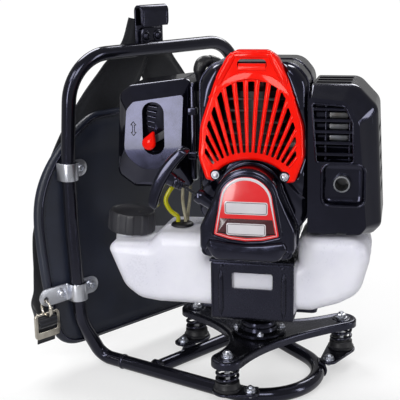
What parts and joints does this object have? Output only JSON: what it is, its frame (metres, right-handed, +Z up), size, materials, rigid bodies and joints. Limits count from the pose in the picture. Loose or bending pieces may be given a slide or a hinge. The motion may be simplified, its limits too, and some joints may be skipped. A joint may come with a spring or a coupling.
{
  "type": "backpack brush cutter",
  "caption": "Backpack brush cutter power unit: tube frame with pad and straps carries a sprung, swivelling two-stroke engine with tank, recoil starter and output flange.",
  "frame": {"origin": "on the floor under the centre of the bounding box", "axes": "+Z up, +Y towards the operator's back, +X to the right seen from the engine's side; the frame is symmetric about x = 0"},
  "size_m": [0.374, 0.37, 0.416],
  "materials": {
    "black_paint": "gloss powder coat",
    "black_plastic": "gloss moulded",
    "red_plastic": "high gloss moulded",
    "tank_plastic": "translucent blow-moulded",
    "zinc": "bright zinc plate",
    "steel": "turned",
    "aluminium": "cast",
    "rubber": "matt",
    "webbing": "woven",
    "pad_vinyl": "satin vinyl",
    "fuel_yellow": "clear flexible",
    "fuel_clear": "clear flexible",
    "foam": "open foam",
    "badge": "printed plate"
  },
  "bodies": {
    "frame": {"back_hoop": "black_paint", "base_loop": "black_paint", "back_pad": "pad_vinyl", "upper_clamp_left": "zinc", "upper_clamp_right": "zinc", "lower_clamp_left": "zinc", "lower_clamp_right": "zinc", "spring_seat_left": "black_paint", "spring_seat_right": "black_paint", "spring_seat_rear": "black_paint", "lower_buffer_left": "rubber", "lower_buffer_right": "rubber", "lower_buffer_rear": "rubber", "mount_spring_left": "black_paint", "mount_spring_right": "black_paint", "mount_spring_rear": "black_paint", "spring_bolt_left": "zinc", "spring_bolt_right": "zinc", "spring_bolt_rear": "zinc", "top_hook": "rubber", "shoulder_strap_left": "webbing", "shoulder_strap_right": "webbing", "strap_hook_left": "zinc", "strap_hook_right": "zinc", "strap_buckle_left": "zinc", "strap_buckle_right": "zinc"},
    "plate": {"spring_plate": "black_paint", "swivel_hub": "black_paint", "swivel_bearing": "steel"},
    "engine": {"swivel_post": "black_paint", "tank_cradle": "black_paint", "fuel_tank": "tank_plastic", "tank_grommet": "rubber", "fuel_hose_return": "fuel_yellow", "fuel_hose_supply": "fuel_clear", "fuel_hose_purge": "fuel_clear", "crankcase": "aluminium", "cylinder": "aluminium", "fan_shroud": "black_plastic", "clutch_case": "aluminium", "starter_housing": "black_plastic", "badge_plate": "badge", "cylinder_cover": "red_plastic", "muffler_cover": "black_plastic", "muffler": "steel", "air_cleaner_cover": "black_plastic", "air_cleaner_base": "black_plastic", "filter_foam": "foam", "carburettor": "aluminium", "spark_plug": "steel", "ignition_coil": "black_plastic", "plug_lead": "rubber"},
    "cap": {"tank_cap": "black_plastic"},
    "choke": {"choke_lever": "red_plastic"},
    "crank": {"crankshaft": "steel", "fan_flywheel": "aluminium"},
    "drum": {"clutch_drum": "steel"},
    "reel": {"starter_reel": "black_plastic"},
    "pull": {"starter_handle": "black_plastic", "starter_rope": "webbing"}
  },
  "joints": [
    {"name": "plate_bounce", "type": "slide", "parent": "frame", "child": "plate", "axis": [0, 0, 1], "range_m": [-0.006, 0], "stiffness_N_per_m": 15000, "springref_m": 0.009, "deforming": ["mount_spring_left", "mount_spring_right", "mount_spring_rear"]},
    {"name": "engine_swivel", "type": "hinge", "parent": "plate", "child": "engine", "pos_m": [0, -0.0525, 0.07], "axis": [0, 0, 1], "range_deg": [-20, 55]},
    {"name": "cap_turn", "type": "hinge", "parent": "engine", "child": "cap", "pos_m": [-0.0822, 0.06937, 0.166], "axis": [0.0487, -0.0723, 0.9962], "range_deg": [0, 360]},
    {"name": "choke_turn", "type": "hinge", "parent": "engine", "child": "choke", "pos_m": [-0.06961, -0.00295, 0.291], "axis": [0.829, 0.5592, 0], "range_deg": [0, 43]},
    {"name": "crank_spin", "type": "hinge", "parent": "engine", "child": "crank", "pos_m": [0, -0.0525, 0.22], "axis": [0.829, 0.5592, 0], "continuous": true},
    {"name": "drum_spin", "type": "hinge", "parent": "engine", "child": "drum", "pos_m": [0.05803, -0.01336, 0.22], "axis": [0.829, 0.5592, 0], "continuous": true},
    {"name": "starter_pull", "type": "slide", "parent": "engine", "child": "pull", "axis": [-0.4843, 0.718, 0.5], "range_m": [0, 0.045], "stiffness_N_per_m": 150, "springref_m": -0.06},
    {"name": "reel_spin", "type": "hinge", "parent": "engine", "child": "reel", "pos_m": [-0.05638, -0.09052, 0.22], "axis": [0.829, 0.5592, 0], "range_deg": [0, 144]}
  ],
  "couplings": [
    {"joint": "reel_spin", "follows": "starter_pull", "rad_per_m": 55.556}
  ]
}
